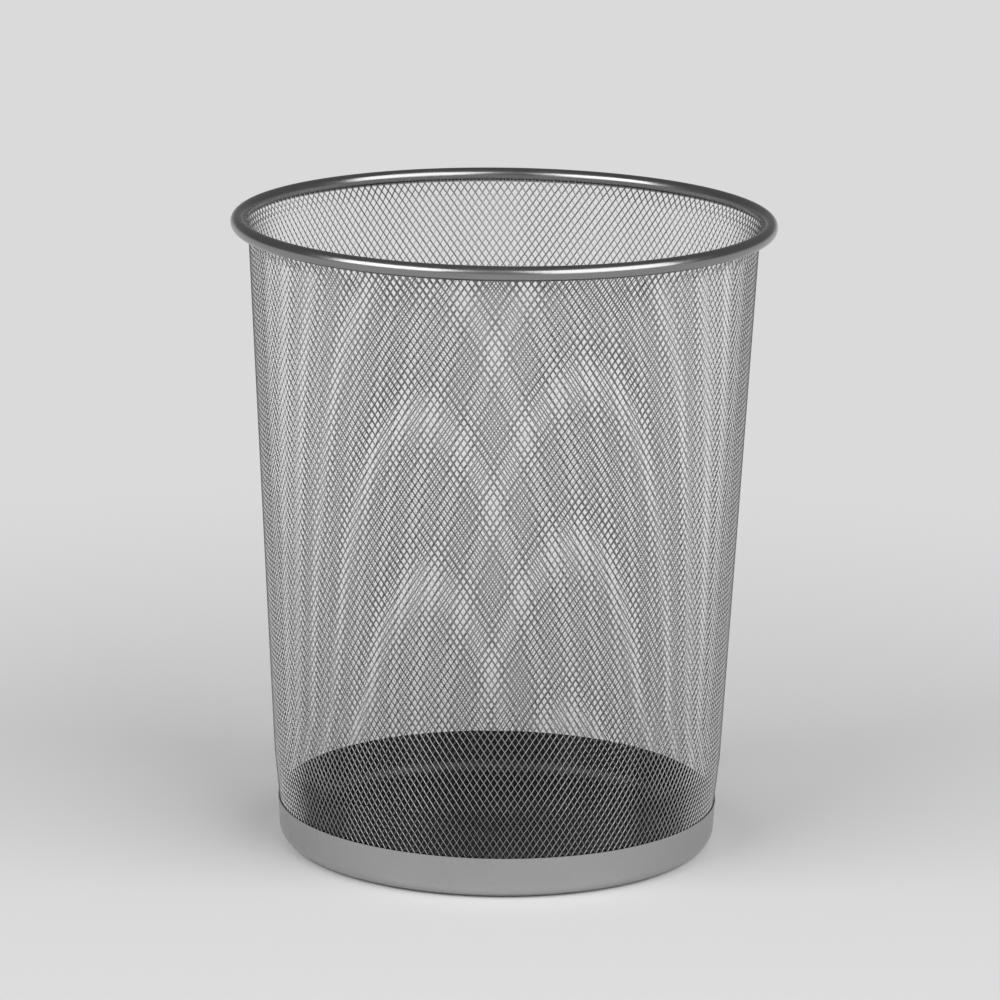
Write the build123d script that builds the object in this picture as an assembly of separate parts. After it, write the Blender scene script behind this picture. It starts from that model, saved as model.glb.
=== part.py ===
from build123d import *
from math import cos, radians, sin
import os

# Round mesh wastebasket: a tapered wall of expanded metal between a rolled rim and a pressed base.
# Millimetres, +Z up. The origin is the centre of the underside, on the floor. Every piece is a
# solid of revolution about Z, drawn as a half section with the radius along X.

# ---- Overall sizes ----
rim_od = 296.0            # over the outside of the rim tube
overall_height = 350.0    # floor to the top of the rim tube
base_od = 242.4           # over the top edge of the base cup

# ---- Rim: thin steel tube, rolled into a ring and slit on its inner lower side ----
rim_tube_d = 8.0
rim_tube_wall = 0.6
rim_slit_angle = 32.0     # how far below level, on the tube's inner side, the mesh goes in
rim_grip = 1.8            # height of the mesh inside the tube

# ---- Wall: expanded metal, drawn as a plain skin of the mesh's overall thickness ----
mesh_thickness = 0.8      # measured level, as are the sheets of the base
mesh_inset = 1.3          # from the rim tube's inside to the cone, level with the tube's centre
flare_height = 8.0        # below the slit the wall leans out over this height to meet the rim
neck_height = 25.0        # above the cup the wall draws in over this height to fit inside it
neck_depth = 1.45         # how far it draws in

# ---- Base: a cup outside the mesh, and a floor pan inside it that presses the mesh to the cup ----
cup_height = 23.4
cup_sheet = 0.6
cup_corner_r = 9.0        # outside radius of the corner between wall and floor
pan_sheet = 0.6
pan_rise = 2.0            # the pan's edge stands this much higher than the cup's
mesh_edge_lift = 2.4      # the mesh's lower edge ends this far above the round corner

# ---- Fits ----
slit_clearance = 0.1      # on each face of the mesh where it passes into the rim tube
nest_clearance = 0.1      # between the layers of the base wall

# ---- Places that follow from the sizes ----
rim_centre_r = (rim_od - rim_tube_d) / 2
rim_centre_z = overall_height - rim_tube_d / 2
slit_r = rim_centre_r - rim_tube_d / 2 * cos(radians(rim_slit_angle))
slit_z = rim_centre_z - rim_tube_d / 2 * sin(radians(rim_slit_angle))
mesh_in_cup_r = base_od / 2 - cup_sheet - nest_clearance     # outside of the mesh at the cup's edge
cone_foot_r = mesh_in_cup_r + neck_depth                     # where the cone would be without its neck
cone_top_r = rim_od / 2 - rim_tube_d - mesh_inset
taper = (cone_top_r - cone_foot_r) / (rim_centre_z - cup_height)
pan_edge_z = cup_height + pan_rise
pan_edge_r = mesh_in_cup_r - mesh_thickness - nest_clearance + taper * pan_rise


def mesh_outline():
    """Outside of the mesh in half section, from its edge in the base to its edge in the rim."""
    lower_z = cup_corner_r + mesh_edge_lift
    neck_z = cup_height + neck_height
    flare_z = slit_z - flare_height
    flare_r = cone_foot_r + taper * (flare_z - cup_height)
    slit_outside_r = slit_r + mesh_thickness / 2
    lean = (slit_outside_r - flare_r) / flare_height
    return [
        (mesh_in_cup_r - taper * (cup_height - lower_z), lower_z),
        (mesh_in_cup_r, cup_height),
        (cone_foot_r + taper * neck_height, neck_z),
        (flare_r, flare_z),
        (slit_outside_r + lean * rim_grip, slit_z + rim_grip),
    ]


def level_band(outline, thickness, spare=0.0):
    """Half section of a thin wall inside an outline, widened by a spare width on both faces."""
    outside = [(r + spare, z) for r, z in outline]
    inside = [(r - thickness - spare, z) for r, z in reversed(outline)]
    return make_face(Polyline(*outside, *inside, close=True))


def turned(section):
    """Ring or cup made by turning a half section about Z."""
    return revolve(Plane.XZ * section, Axis.Z)


def filled_cup(edge_r, edge_z, floor_z, corner_r):
    """Half section of a tapered cup, filled up to its edge, with a round corner at its floor."""
    foot_r = edge_r - taper * (edge_z - floor_z)
    section = make_face(
        Polyline((0, floor_z), (foot_r, floor_z), (edge_r, edge_z), (0, edge_z), close=True))
    corner = section.vertices().sort_by_distance((foot_r, floor_z, 0))[0]
    return fillet(corner, corner_r)


def pressed_cup(edge_r, edge_z, floor_z, corner_r, sheet):
    """Cup pressed from sheet: a flat floor, a round corner and a tapered wall."""
    outside = filled_cup(edge_r, edge_z, floor_z, corner_r)
    inside = filled_cup(edge_r - sheet, edge_z, floor_z + sheet, corner_r - sheet)
    return turned(outside - inside)


def make_mesh_wall():
    """Tapered wall, necked in at the base and flared out at the rim."""
    return turned(level_band(mesh_outline(), mesh_thickness))


def make_rim_tube():
    """Rolled tube, slit all the way round where the mesh goes in."""
    tube = Circle(rim_tube_d / 2) - Circle(rim_tube_d / 2 - rim_tube_wall)
    slit = level_band(mesh_outline()[-2:], mesh_thickness, slit_clearance)
    return turned(Pos(rim_centre_r, rim_centre_z) * tube - slit)


def make_base_cup():
    """Outer cup, whose floor the basket stands on."""
    return pressed_cup(base_od / 2, cup_height, 0, cup_corner_r, cup_sheet)


def make_floor_pan():
    """Inner cup, lying on the outer one's floor with the mesh held between their walls."""
    return pressed_cup(pan_edge_r, pan_edge_z, cup_sheet, cup_corner_r - cup_sheet, pan_sheet)


pieces = {
    "rim_tube": make_rim_tube(),
    "mesh_wall": make_mesh_wall(),
    "base_cup": make_base_cup(),
    "floor_pan": make_floor_pan(),
}
os.makedirs("parts", exist_ok=True)
for name, piece in pieces.items():
    piece.label = name
    export_step(piece, f"parts/{name}.step")
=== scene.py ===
# %% [markdown]
# # A round wastebasket of expanded metal
# The basket is four pieces of thin steel: a wall of fine diamond mesh, a rolled tube that grips the
# top of the mesh, a silver cup round its foot, and a black pan inside the cup. The construction
# model gives the sizes and places. This script gives each piece its true shape and its paint.

# %% Load the construction model
from math import atan2, cos, degrees, pi, radians, sin, tau

import bmesh
import bpy
import numpy as np
from mathutils import Matrix, Vector


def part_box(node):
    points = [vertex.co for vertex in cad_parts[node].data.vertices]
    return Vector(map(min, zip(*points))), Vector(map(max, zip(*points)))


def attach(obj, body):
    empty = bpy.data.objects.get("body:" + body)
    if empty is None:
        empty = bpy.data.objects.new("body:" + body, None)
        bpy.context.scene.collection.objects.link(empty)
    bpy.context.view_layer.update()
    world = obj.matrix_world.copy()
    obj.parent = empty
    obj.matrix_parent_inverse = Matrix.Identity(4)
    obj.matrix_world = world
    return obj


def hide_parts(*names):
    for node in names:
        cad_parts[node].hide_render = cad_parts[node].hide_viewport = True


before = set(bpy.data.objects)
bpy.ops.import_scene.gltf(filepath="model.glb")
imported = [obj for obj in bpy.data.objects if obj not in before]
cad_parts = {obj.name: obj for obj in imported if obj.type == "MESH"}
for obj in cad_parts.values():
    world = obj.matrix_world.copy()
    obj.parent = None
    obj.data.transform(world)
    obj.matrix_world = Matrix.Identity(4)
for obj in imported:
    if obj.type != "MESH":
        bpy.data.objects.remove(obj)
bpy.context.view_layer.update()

print("nodes:", ", ".join(sorted(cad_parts)))

# %% [markdown]
# ## Sizes
# Heights and outside radii come from the construction model. The sheets, the gaps and the places
# where the wall bends are the model's own too, written once here in metres. The wall's bends are:
# a straight foot tucked into the cup, a neck where the wall leans out to stand clear of the cup's
# edge, a long straight cone, and a short flare that leads the cut edge into the rim.

# %% Read the sizes
rim_low, rim_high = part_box("rim_tube")
mesh_low, mesh_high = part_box("mesh_wall")
cup_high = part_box("base_cup")[1]
pan_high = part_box("floor_pan")[1]

tube_r = (rim_high.z - rim_low.z) / 2
rim_centre_r = rim_high.x - tube_r
rim_centre_z = rim_high.z - tube_r
cup_edge_r = cup_high.x
pan_edge_r = pan_high.x

tube_wall = 0.0006
sheet = 0.0006
cup_corner_r = 0.009
mesh_skin = 0.0008
mesh_inset = 0.0013
nest_gap = 0.0001
print(f"rim tube {2000 * tube_r:.1f} mm thick on a ring of {1000 * rim_centre_r:.1f} mm radius")
print(f"cup {1000 * cup_high.z:.1f} mm tall, whole basket {1000 * rim_high.z:.0f} mm tall")

# %% [markdown]
# ## Two helpers for turned pieces
# The rim, the cup and the pan are all round, so each is a half section spun about the upright
# axis. They could also be cylinders with their ends inset and bevelled, but a section keeps the
# sheet's thickness and its round corners in one short list, and a spin closes the surface evenly.

# %% Make a round corner and spin a section
smooth_limit = radians(35)
turns = 288
merge_reach = 1e-6


def arc(centre_r, centre_z, radius, start, end, steps):
    """Points of an arc in a half section, as radius and height."""
    angles = [start + (end - start) * step / steps for step in range(steps + 1)]
    return [(centre_r + radius * cos(a), centre_z + radius * sin(a)) for a in angles]


def turned(name, section):
    """Spin a closed half section about the upright axis."""
    bm = bmesh.new()
    points = [bm.verts.new((r, 0, z)) for r, z in section]
    edges = [bm.edges.new((a, b)) for a, b in zip(points, points[1:] + points[:1])]
    bmesh.ops.spin(bm, geom=points + edges, cent=(0, 0, 0), axis=(0, 0, 1),
                   angle=tau, steps=turns, use_merge=True)
    bmesh.ops.remove_doubles(bm, verts=bm.verts, dist=merge_reach)
    bmesh.ops.recalc_face_normals(bm, faces=bm.faces)
    mesh = bpy.data.meshes.new(name)
    bm.to_mesh(mesh)
    bm.free()
    mesh.shade_smooth()
    mesh.set_sharp_from_angle(angle=smooth_limit)
    piece = bpy.data.objects.new(name, mesh)
    bpy.context.scene.collection.objects.link(piece)
    print(f"{name}: {len(mesh.polygons)} faces")
    return piece


# %% [markdown]
# ## The rim
# This is modelled as a thin steel tube, rolled into a ring, with a slit on its inner lower side that
# the edge of the mesh goes into. A torus would do for a look from far off, but the slit and the
# tube's hollow show from below. So its section is a ring with a gap: an outer arc and an inner arc
# that meet at the two lips of the slit.

# %% Spin the rim
slit_angle = radians(32)
outside_steps = 48
inside_steps = 24
slit_half = (mesh_skin / 2 + nest_gap) / tube_r
slit_from = pi + slit_angle + slit_half
slit_to = slit_from + tau - 2 * slit_half
tube_outside = arc(rim_centre_r, rim_centre_z, tube_r, slit_from, slit_to, outside_steps)
tube_inside = arc(rim_centre_r, rim_centre_z, tube_r - tube_wall, slit_to, slit_from, inside_steps)
rim = turned("rim_ring", tube_outside + tube_inside)

# %% [markdown]
# ## The cup and the pan
# Both are pressed from sheet: a flat floor, a round corner, and a wall that leans out as much as
# the mesh does. The same section serves both, once with each piece's own sizes. The pan stands
# inside the cup and the foot of the mesh is held between the two. The pan's edge ends a little
# above the cup's, and shows there as a fine dark line behind the mesh.

# %% Find how much the wall leans
neck_depth = 0.00145
cone_foot_r = cup_edge_r - sheet - nest_gap + neck_depth
cone_top_r = rim_centre_r - tube_r - mesh_inset
taper = (cone_top_r - cone_foot_r) / (rim_centre_z - cup_high.z)
lean = atan2(taper, 1)
print(f"the wall leans {degrees(lean):.1f} degrees")

# %% Spin the cup and the pan
corner_steps = 10


def cup_line(edge_r, edge_z, floor_z, corner_r):
    """Half section of a cup's surface, from the middle of its floor to its edge."""
    foot_r = edge_r - taper * (edge_z - floor_z)
    centre_r = foot_r - corner_r / cos(lean) + taper * corner_r
    corner = arc(centre_r, floor_z + corner_r, corner_r, -pi / 2, -lean, corner_steps)
    return [(0.0, floor_z), *corner, (edge_r, edge_z)]


def pressed_cup(name, edge_r, edge_z, floor_z, corner_r):
    """A cup of sheet metal with the given outside."""
    outside = cup_line(edge_r, edge_z, floor_z, corner_r)
    inside = cup_line(edge_r - sheet, edge_z, floor_z + sheet, corner_r - sheet)
    return turned(name, outside + inside[::-1])


cup = pressed_cup("base_band", cup_edge_r, cup_high.z, 0.0, cup_corner_r)
pan = pressed_cup("black_floor", pan_edge_r, pan_high.z, sheet, cup_corner_r - sheet)

# %% [markdown]
# ## The mesh, flat
# Expanded metal starts as a thin sheet. A machine cuts rows of short slits in it and pulls it
# wider, and each slit opens into a diamond. Four strands meet at each knuckle. The holes could be
# painted on with a transparent material, but then the strands would have no thickness and catch
# no light, so every strand is real. One knuckle with the two strands above it is all that has to
# be drawn. A strand's back is shallow along the middle and steep at its edges, a shape chosen here
# for how it takes the light: one family of strands shines while the other stays dark.

# %% Set the size of one diamond
cells_around = 212
cell_height = 0.00576
strand_width = 0.00068
strand_depth = 0.00072
knuckle_half = 0.00052

cell_width = tau * (cone_foot_r + cone_top_r) / 2 / cells_around
row_height = cell_height / 2
strand_angle = atan2(row_height, cell_width / 2)
notch = strand_width / 2 / cos(strand_angle)
blunt = (knuckle_half - strand_width / 2 / sin(strand_angle)) * row_height / (cell_width / 2)
wall_height = mesh_high.z - mesh_low.z
print(f"diamonds {1000 * cell_width:.2f} mm wide and {1000 * cell_height:.2f} mm tall")

# %% Draw one knuckle and its two strands
# The strand's section has two slopes on each side, with a shoulder between them.
strand_cuts = 1
long_edge = 2 * strand_width
shoulder_share = 0.52
shoulder_depth = 0.62 * strand_depth / 2
shoulder_up = shoulder_share * notch
shoulder_side = shoulder_share * strand_width / 2 / sin(strand_angle)


def knuckle_points(bm, x, y):
    """The raised middle of a knuckle, its four shoulders and its six low corners."""
    corners = {
        "middle": (0, 0, strand_depth / 2),
        "shoulder_top": (0, shoulder_up, shoulder_depth),
        "shoulder_bottom": (0, -shoulder_up, shoulder_depth),
        "shoulder_right": (shoulder_side, 0, shoulder_depth),
        "shoulder_left": (-shoulder_side, 0, shoulder_depth),
        "top": (0, notch, 0),
        "bottom": (0, -notch, 0),
        "right_top": (knuckle_half, blunt, 0),
        "right_bottom": (knuckle_half, -blunt, 0),
        "left_top": (-knuckle_half, blunt, 0),
        "left_bottom": (-knuckle_half, -blunt, 0),
    }
    return {name: bm.verts.new((x + dx, y + dy, dz)) for name, (dx, dy, dz) in corners.items()}


def add_strand(bm, here, there, side, far_side):
    """The four facets of the strand that rises from one knuckle to the next on one side."""
    lines = [
        (here[f"{side}_top"], there["bottom"]),
        (here[f"shoulder_{side}"], there["shoulder_bottom"]),
        (here["middle"], there["middle"]),
        (here["shoulder_top"], there[f"shoulder_{far_side}"]),
        (here["top"], there[f"{far_side}_bottom"]),
    ]
    return [bm.faces.new((a, b, d, c)) for (a, b), (c, d) in zip(lines, lines[1:])]


def add_knuckle(bm, x, y):
    """Half a knuckle's thickness, with the two strands that rise from it."""
    here = knuckle_points(bm, x, y)
    right = knuckle_points(bm, x + cell_width / 2, y + row_height)
    left = knuckle_points(bm, x - cell_width / 2, y + row_height)
    bm.faces.new((here["shoulder_right"], here["right_bottom"], here["right_top"]))
    bm.faces.new((here["shoulder_left"], here["left_top"], here["left_bottom"]))
    strands = add_strand(bm, here, right, "right", "left")
    strands += add_strand(bm, here, left, "left", "right")
    bmesh.ops.delete(bm, geom=[v for v in bm.verts if not v.link_faces], context="VERTS")
    long_edges = {e for face in strands for e in face.edges if e.calc_length() > long_edge}
    bmesh.ops.subdivide_edges(bm, edges=list(long_edges), cuts=strand_cuts, use_grid_fill=True)


# %% [markdown]
# ## From one knuckle to a sheet
# A spin with no angle and a step along a line is a plain array, so it repeats the knuckle up one
# column and then the column across the sheet. The sheet is cut straight at the foot and the top,
# as shears do, and a mirror gives it its back. The cut ends of the strands are then closed. The
# faces stay flat-shaded, because a strand is thinner than a grain of rice and its crisp slopes,
# not a soft gradient, are what make it read as wire.

# %% Make a flat sheet of diamonds
repeat_reach = 1e-5


def repeat(bm, step, copies):
    """Repeat everything in a bmesh along a line."""
    bmesh.ops.spin(bm, geom=bm.verts[:] + bm.edges[:] + bm.faces[:], cent=(0, 0, 0), axis=(0, 0, 1),
                   dvec=step, angle=0, steps=copies - 1, use_duplicate=True)
    bmesh.ops.remove_doubles(bm, verts=bm.verts, dist=repeat_reach)


def flat_sheet(columns):
    """A flat sheet as tall as the wall, some columns of diamonds wide."""
    bm = bmesh.new()
    add_knuckle(bm, 0, -row_height)
    add_knuckle(bm, cell_width / 2, 0)
    repeat(bm, (0, cell_height, 0), int(wall_height / cell_height) + 2)
    for height, side in ((0, -1), (wall_height, 1)):
        bmesh.ops.bisect_plane(bm, geom=bm.verts[:] + bm.edges[:] + bm.faces[:], dist=merge_reach,
                               plane_co=(0, height, 0), plane_no=(0, side, 0), clear_outer=True)
    loose_edges = [e for e in bm.edges if not e.link_faces]
    bmesh.ops.delete(bm, geom=loose_edges, context="EDGES")
    repeat(bm, (cell_width, 0, 0), columns)
    bmesh.ops.mirror(bm, geom=bm.verts[:] + bm.edges[:] + bm.faces[:], axis="Z",
                     merge_dist=merge_reach)
    bmesh.ops.holes_fill(bm, edges=[e for e in bm.edges if e.is_boundary], sides=0)
    bmesh.ops.recalc_face_normals(bm, faces=bm.faces)
    open_edges = sum(not e.is_manifold for e in bm.edges)
    triangles = sum(len(f.verts) - 2 for f in bm.faces)
    print(f"flat sheet of {columns} columns: {triangles} triangles, {open_edges} open edges")
    mesh = bpy.data.meshes.new(f"sheet_{columns}")
    bm.to_mesh(mesh)
    bm.free()
    mesh.shade_flat()
    return mesh


# %% [markdown]
# ## The wall, rolled
# A workshop would roll the flat sheet into a cone and join its ends. Here the same bend is
# one sum: how far a point lies along the sheet becomes its turn round the basket, and its
# height gives its distance from the middle. Nine sectors keep each piece's mesh light enough,
# and they meet strand on strand, so no seam shows.

# %% Draw the line of the wall
flare_height = 0.008
neck_height = 0.025
bend_ease = 0.0015
ease_samples = 5
slit_r = rim_centre_r - tube_r * cos(slit_angle)
slit_z = rim_centre_z - tube_r * sin(slit_angle)
flare_z = slit_z - flare_height
neck_z = cup_high.z + neck_height
line_z = [mesh_low.z, cup_high.z, neck_z, flare_z, mesh_high.z]
line_r = [
    cone_foot_r - neck_depth - taper * (cup_high.z - mesh_low.z),
    cone_foot_r - neck_depth,
    cone_foot_r + taper * neck_height,
    cone_foot_r + taper * (flare_z - cup_high.z),
    mesh_high.x,
]


def wall_r(z):
    """Radius of the middle of the mesh at a height, with its bends eased."""
    reach = np.linspace(-bend_ease, bend_ease, ease_samples)
    return np.mean([np.interp(z + r, line_z, line_r) for r in reach], axis=0) - mesh_skin / 2


print(f"the mesh enters the rim {1000 * (wall_r(slit_z) - slit_r):.2f} mm from the slit's middle")

# %% Roll the sheets into the wall
sectors = 9
seam_turn = 0.06
starts = [round(cells_around * sector / sectors) for sector in range(sectors + 1)]
widths = sorted({end - start for start, end in zip(starts, starts[1:])})
sheets = {columns: flat_sheet(columns) for columns in widths}


def rolled_sector(index):
    """One sector of the wall, rolled from a flat sheet."""
    first, columns = starts[index], starts[index + 1] - starts[index]
    mesh = sheets[columns].copy()
    mesh.name = f"mesh_sector_{index + 1}"
    flat = np.empty(len(mesh.vertices) * 3)
    mesh.vertices.foreach_get("co", flat)
    x, y, depth = flat.reshape(-1, 3).T
    turn = tau * (x / cell_width + first + seam_turn) / cells_around
    z = mesh_low.z + y
    r = wall_r(z) + depth
    rolled = np.stack([r * np.cos(turn), r * np.sin(turn), z], 1)
    mesh.vertices.foreach_set("co", rolled.ravel())
    mesh.update()
    piece = bpy.data.objects.new(mesh.name, mesh)
    bpy.context.scene.collection.objects.link(piece)
    return piece


wall = [rolled_sector(index) for index in range(sectors)]
for sheet_mesh in sheets.values():
    bpy.data.meshes.remove(sheet_mesh)
print(f"{sectors} sectors of mesh, {len(wall[0].data.polygons)} faces in the first")

# %% [markdown]
# ## Join the pieces to the construction model
# Nothing on this basket moves, so every piece rides on the one body, root. Each piece also says
# The plain solids that they replace are hidden.

# %% Ride and replace
for piece in [rim, cup, pan, *wall]:
    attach(piece, "root")
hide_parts("rim_tube")
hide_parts("base_cup")
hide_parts("floor_pan")
for piece in wall:
    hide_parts("mesh_wall")
print(f"{3 + len(wall)} pieces ride on root")

# %% [markdown]
# ## Camera
# A long lens from almost three metres looks a little down into the basket. How far away it stands
# matters more than usual here: the front and back walls make slow waves of light and dark where
# their diamonds fall in and out of step, and those waves move with the distance.

# %% Set up the camera
camera_distance = 2.903
camera_height = 0.89467
pitch = 0.24666
roll = 0.0130
camera_data = bpy.data.cameras.new("camera")
camera_data.lens = 196.27
camera_data.shift_y = 0.0486
camera_data.clip_end = 20
camera = bpy.data.objects.new("camera", camera_data)
camera.matrix_world = (
    Matrix.Translation((0, -camera_distance, camera_height))
    @ Matrix.Rotation(pi / 2 - pitch, 4, "X")
    @ Matrix.Rotation(roll, 4, "Z")
)
bpy.context.scene.collection.objects.link(camera)
bpy.context.scene.camera = camera
print(f"camera {camera_distance:.2f} m away, looking {degrees(pitch):.1f} degrees down")

# %% [markdown]
# ## Helpers for the finishes
# A material is a small chain of nodes. One function adds a node with its settings and its links,
# and one turns the colour a painter would read off a chart into the linear colour that light
# needs. Patterns use Object coordinates, which are metres here, so a pattern whose grains are
# some millimetres wide has a scale of 1000 divided by that width.

# %% Add nodes and read colours


def linear(hex_colour):
    """The linear colour that an sRGB hex value stands for."""
    channels = [int(hex_colour[i:i + 2], 16) / 255 for i in (1, 3, 5)]
    return (*[c / 12.92 if c <= 0.04045 else ((c + 0.055) / 1.055)**2.4 for c in channels], 1)


def add(tree, kind, settings=None, links=None):
    """Add a node. Settings name its sockets or properties, links say what feeds which socket."""
    node = tree.nodes.new(kind)
    for name, value in (settings or {}).items():
        if isinstance(name, str) and name not in node.inputs:
            setattr(node, name, value)
        else:
            node.inputs[name].default_value = value
    for name, source in (links or {}).items():
        tree.links.new(source, node.inputs[name])
    return node


def start_material(name):
    """A material with an empty tree, and the Object coordinates that its patterns use."""
    material = bpy.data.materials.new(name)
    material.use_nodes = True
    tree = material.node_tree
    tree.nodes.clear()
    return material, tree, add(tree, "ShaderNodeTexCoord").outputs["Object"]


def dress(piece, material):
    """Give a piece one material."""
    piece.data.materials.clear()
    piece.data.materials.append(material)
    print(f"{piece.name}: {material.name}")


print(f"the grey #808080 is {linear('#808080')[0]:.3f} in linear light")

# %% [markdown]
# ## Silver spray paint
# The rim, the mesh and the cup are given the same kind of finish: a spray paint with fine metal
# flakes. It could be a plain metal, but such a paint differs from bare metal in two ways. The
# flakes and the thickness of the coat make the grey vary a little from place to place, and the
# skin of the paint is not quite flat but dimpled like an orange. Both are made from noise.

# %% Mix a silver spray paint
# Real flakes are far too fine to show, so they are drawn as grains of half a millimetre.
flake_mm = 0.5
cloud_mm = 40
peel_mm = 3
peel_height = 0.00001
cloud_share = 0.35
rough_spread = 0.05
noise_low = 0.3
noise_high = 0.7


def silver_paint(name, dark, light, roughness):
    """Paint with metal flakes: grains in the grey, clouds in the gloss, a soft orange peel."""
    material, tree, place = start_material(name)
    flakes = add(tree, "ShaderNodeTexNoise", {"Scale": 1000 / flake_mm, "Detail": 2.0},
                 {"Vector": place})
    clouds = add(tree, "ShaderNodeTexNoise", {"Scale": 1000 / cloud_mm, "Detail": 3.0},
                 {"Vector": place})
    both = add(tree, "ShaderNodeMix", {"data_type": "FLOAT", 0: cloud_share},
               {2: flakes.outputs["Fac"], 3: clouds.outputs["Fac"]})
    grey = add(tree, "ShaderNodeValToRGB", links={"Fac": both.outputs[0]})
    for stop, place_on_ramp, colour in ((0, noise_low, dark), (1, noise_high, light)):
        grey.color_ramp.elements[stop].position = place_on_ramp
        grey.color_ramp.elements[stop].color = linear(colour)
    gloss = add(tree, "ShaderNodeMapRange",
                {"From Min": noise_low, "From Max": noise_high,
                 "To Min": roughness - rough_spread, "To Max": roughness + rough_spread},
                {"Value": clouds.outputs["Fac"]})
    peel = add(tree, "ShaderNodeTexNoise", {"Scale": 1000 / peel_mm, "Detail": 1.0},
               {"Vector": place})
    dimples = add(tree, "ShaderNodeBump", {"Strength": 1.0, "Distance": peel_height},
                  {"Height": peel.outputs["Fac"]})
    shader = add(tree, "ShaderNodeBsdfPrincipled", {"Metallic": 1.0},
                 {"Base Color": grey.outputs["Color"], "Roughness": gloss.outputs[0],
                  "Normal": dimples.outputs[0]})
    add(tree, "ShaderNodeOutputMaterial", links={"Surface": shader.outputs[0]})
    return material


# %% Paint the rim, the mesh and the cup
# The rim's enamel is the glossiest, which draws the studio lamps out into bright streaks.
rim_paint = silver_paint("silver_enamel_on_the_rim", "#8d8d8d", "#999999", 0.24)
# The enamel on the mesh is a little darker and duller than the rim's.
mesh_paint = silver_paint("silver_enamel_on_the_mesh", "#808080", "#8d8d8d", 0.27)
# The cup has a paler satin lacquer, so it glows evenly where the rim shows streaks.
cup_paint = silver_paint("satin_silver_lacquer_on_the_cup", "#a9a9a9", "#b5b5b5", 0.30)
dress(rim, rim_paint)
dress(cup, cup_paint)
for piece in wall:
    dress(piece, mesh_paint)

# %% [markdown]
# ## Black enamel in the pan
# The pan is black, with a soft sheen and no metal in the paint. Whatever is thrown in lands here,
# so it is given some wear: faint paler rubs, longer than they are wide, and a little dust
# where the floor meets the round corner. Scuffs are a stretched noise with a threshold,
# and the dust is a ring found from the distance to the middle, broken up by a finer noise.

# %% Paint the pan
scuff_mm = 14
scuff_stretch = 5
speck_mm = 1.2
scuff_turn = 0.5
scuff_from = 0.56
scuff_to = 0.72
scuff_strength = 0.6
speck_from = 0.5
speck_to = 0.75
dust_ring = (0.085, 0.112)
pan_roughness = (0.42, 0.6)
pan_peel_height = 0.00003
material, tree, place = start_material("scuffed_black_enamel_in_the_pan")
turned_place = add(tree, "ShaderNodeMapping",
                   {"Rotation": (0, 0, scuff_turn), "Scale": (1, scuff_stretch, 1)},
                   {"Vector": place})
rubs = add(tree, "ShaderNodeTexNoise", {"Scale": 1000 / scuff_mm / scuff_stretch, "Detail": 4.0},
           {"Vector": turned_place.outputs[0]})
scuffs = add(tree, "ShaderNodeMapRange",
             {"From Min": scuff_from, "From Max": scuff_to, "To Max": scuff_strength},
             {"Value": rubs.outputs["Fac"]})
flat_place = add(tree, "ShaderNodeMapping", {"Scale": (1, 1, 0)}, {"Vector": place})
from_middle = add(tree, "ShaderNodeVectorMath", {"operation": "LENGTH"},
                  {"Vector": flat_place.outputs[0]})
ring = add(tree, "ShaderNodeMapRange", {"From Min": dust_ring[0], "From Max": dust_ring[1]},
           {"Value": from_middle.outputs["Value"]})
specks = add(tree, "ShaderNodeTexNoise", {"Scale": 1000 / speck_mm, "Detail": 2.0}, {"Vector": place})
loose = add(tree, "ShaderNodeMapRange", {"From Min": speck_from, "From Max": speck_to},
            {"Value": specks.outputs["Fac"]})
dust = add(tree, "ShaderNodeMath", {"operation": "MULTIPLY"},
           {0: ring.outputs[0], 1: loose.outputs[0]})
worn = add(tree, "ShaderNodeMath", {"operation": "MAXIMUM"},
           {0: scuffs.outputs[0], 1: dust.outputs[0]})
black = add(tree, "ShaderNodeValToRGB", links={"Fac": worn.outputs[0]})
black.color_ramp.elements[0].color = linear("#101011")
black.color_ramp.elements[1].color = linear("#3c3c3d")
sheen = add(tree, "ShaderNodeMapRange", {"To Min": pan_roughness[0], "To Max": pan_roughness[1]},
            {"Value": worn.outputs[0]})
peel = add(tree, "ShaderNodeTexNoise", {"Scale": 1000 / peel_mm, "Detail": 1.0}, {"Vector": place})
dimples = add(tree, "ShaderNodeBump", {"Strength": 1.0, "Distance": pan_peel_height},
              {"Height": peel.outputs["Fac"]})
shader = add(tree, "ShaderNodeBsdfPrincipled", {},
             {"Base Color": black.outputs["Color"], "Roughness": sheen.outputs[0],
              "Normal": dimples.outputs[0]})
add(tree, "ShaderNodeOutputMaterial", links={"Surface": shader.outputs[0]})
dress(pan, material)

# %% [markdown]
# ## The floor
# A round pale floor catches the basket's shadow. Close to the basket it is plain matt paint. Far
# off it shows the camera one even grey, which a lit floor never quite does, and metal that mirrors
# it sees the same grey. The Light Path node tells those rays from the ones that carry light.

# %% Lay the floor
floor_r = 3.2
floor_drop = 0.0002
floor_sides = 96
fade = (0.15, 0.9)
floor_mesh = bpy.data.meshes.new("studio_floor")
bm = bmesh.new()
bmesh.ops.create_circle(bm, cap_ends=True, segments=floor_sides, radius=floor_r,
                        matrix=Matrix.Translation((0, 0, -floor_drop)))
bm.to_mesh(floor_mesh)
bm.free()
floor = bpy.data.objects.new("studio_floor", floor_mesh)
bpy.context.scene.collection.objects.link(floor)

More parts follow.
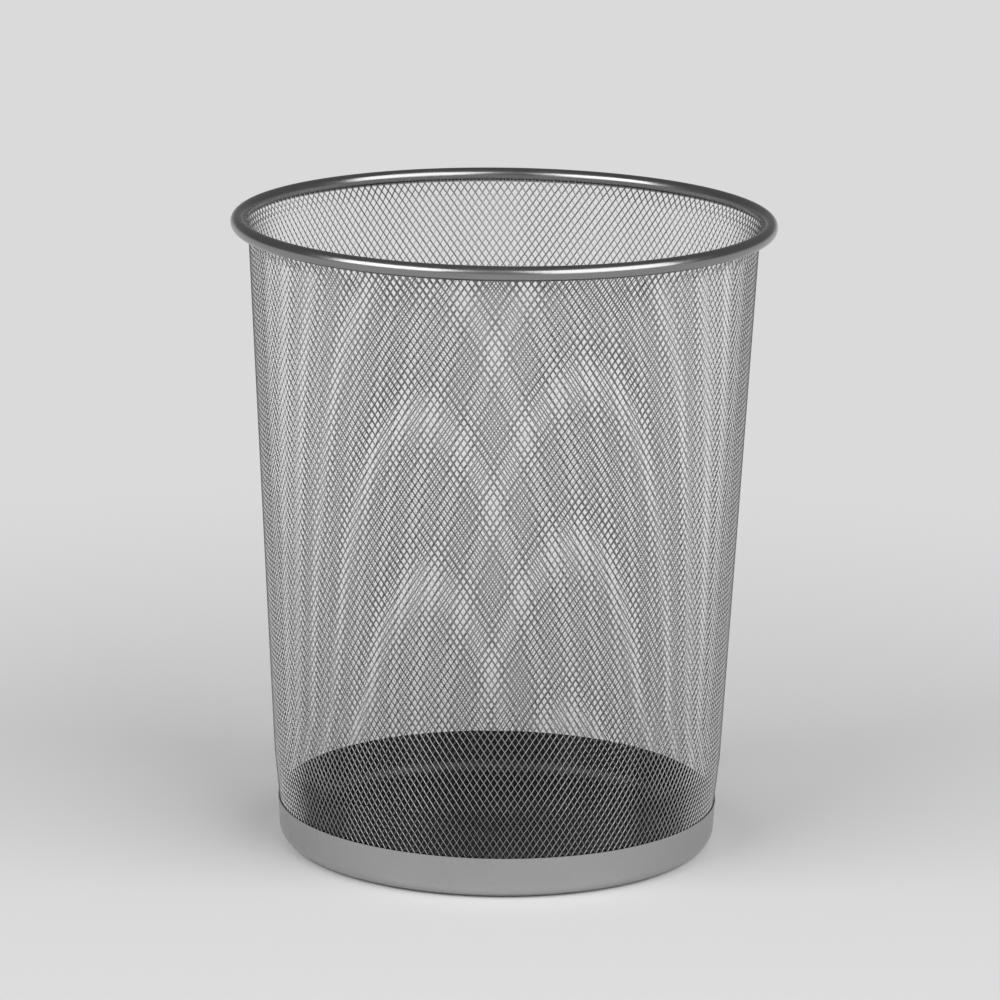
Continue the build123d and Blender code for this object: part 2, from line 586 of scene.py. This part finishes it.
material, tree, place = start_material("pale_matt_floor")
near = add(tree, "ShaderNodeBsdfDiffuse", {"Color": linear("#e2e2e2")})
far = add(tree, "ShaderNodeEmission", {"Color": linear("#dadada")})
path = add(tree, "ShaderNodeLightPath").outputs
seen = add(tree, "ShaderNodeMath", {"operation": "ADD"},
           {0: path["Is Camera Ray"], 1: path["Is Glossy Ray"]})
seen = add(tree, "ShaderNodeMath", {"operation": "ADD"},
           {0: seen.outputs[0], 1: path["Is Transmission Ray"]})
distance = add(tree, "ShaderNodeVectorMath", {"operation": "LENGTH"}, {0: place})
spread = add(tree, "ShaderNodeMapRange",
             {"interpolation_type": "SMOOTHSTEP", "From Min": fade[0], "From Max": fade[1]},
             {"Value": distance.outputs["Value"]})
share = add(tree, "ShaderNodeMath", {"operation": "MULTIPLY", "use_clamp": True},
            {0: seen.outputs[0], 1: spread.outputs[0]})
mix = add(tree, "ShaderNodeMixShader",
          links={0: share.outputs[0], 1: near.outputs[0], 2: far.outputs[0]})
add(tree, "ShaderNodeOutputMaterial", links={"Surface": mix.outputs[0]})
dress(floor, material)

# %% [markdown]
# ## Light
# Two large soft lamps stand in front of the basket, one at each side, and draw a bright streak
# along each side of the rim. The room above is a dim grey, which is what makes the top of the rim
# look dark between the streaks, and below the horizon it is as pale as the floor.

# %% Fill the room with light
horizon = (-0.05, 0.14)
room_below = 0.7
room_above = 0.18
world = bpy.data.worlds.new("studio")
bpy.context.scene.world = world
world.use_nodes = True
tree = world.node_tree
tree.nodes.clear()
direction = add(tree, "ShaderNodeTexCoord").outputs["Generated"]
split = add(tree, "ShaderNodeSeparateXYZ", links={"Vector": direction})
level = add(tree, "ShaderNodeMapRange",
            {"From Min": horizon[0], "From Max": horizon[1],
             "To Min": room_below, "To Max": room_above},
            {"Value": split.outputs["Z"]})
grey = add(tree, "ShaderNodeBackground", {"Color": (1, 1, 1, 1)}, {"Strength": level.outputs[0]})
add(tree, "ShaderNodeOutputWorld", links={"Surface": grey.outputs[0]})
print(f"the room is {room_above} bright above and {room_below} below")

# %% Hang the two soft lamps
lamp_distance = 4.0
lamp_aim = Vector((0, 0, 0.2))


def softbox(name, azimuth, elevation, width, height, radiance):
    """A soft rectangular lamp, turned about the basket from straight in front."""
    light = bpy.data.lights.new(name, "AREA")
    light.shape = "RECTANGLE"
    light.size = width
    light.size_y = height
    light.energy = radiance * pi * width * height
    lamp = bpy.data.objects.new(name, light)
    turn, rise = radians(azimuth), radians(elevation)
    spot = Vector((sin(turn) * cos(rise), -cos(turn) * cos(rise), sin(rise))) * lamp_distance
    aim = (spot - lamp_aim).to_track_quat("Z", "Y").to_matrix().to_4x4()
    lamp.matrix_world = Matrix.Translation(spot) @ aim
    lamp.visible_camera = False
    bpy.context.scene.collection.objects.link(lamp)
    print(f"{name}: {width} by {height} m, {light.energy:.0f} W")


softbox("softbox_left", -50, 34, 3.3, 2.6, 3.9)
softbox("softbox_right", 47, 36, 4.2, 3.2, 3.3)
bpy.context.scene.view_settings.view_transform = "Standard"
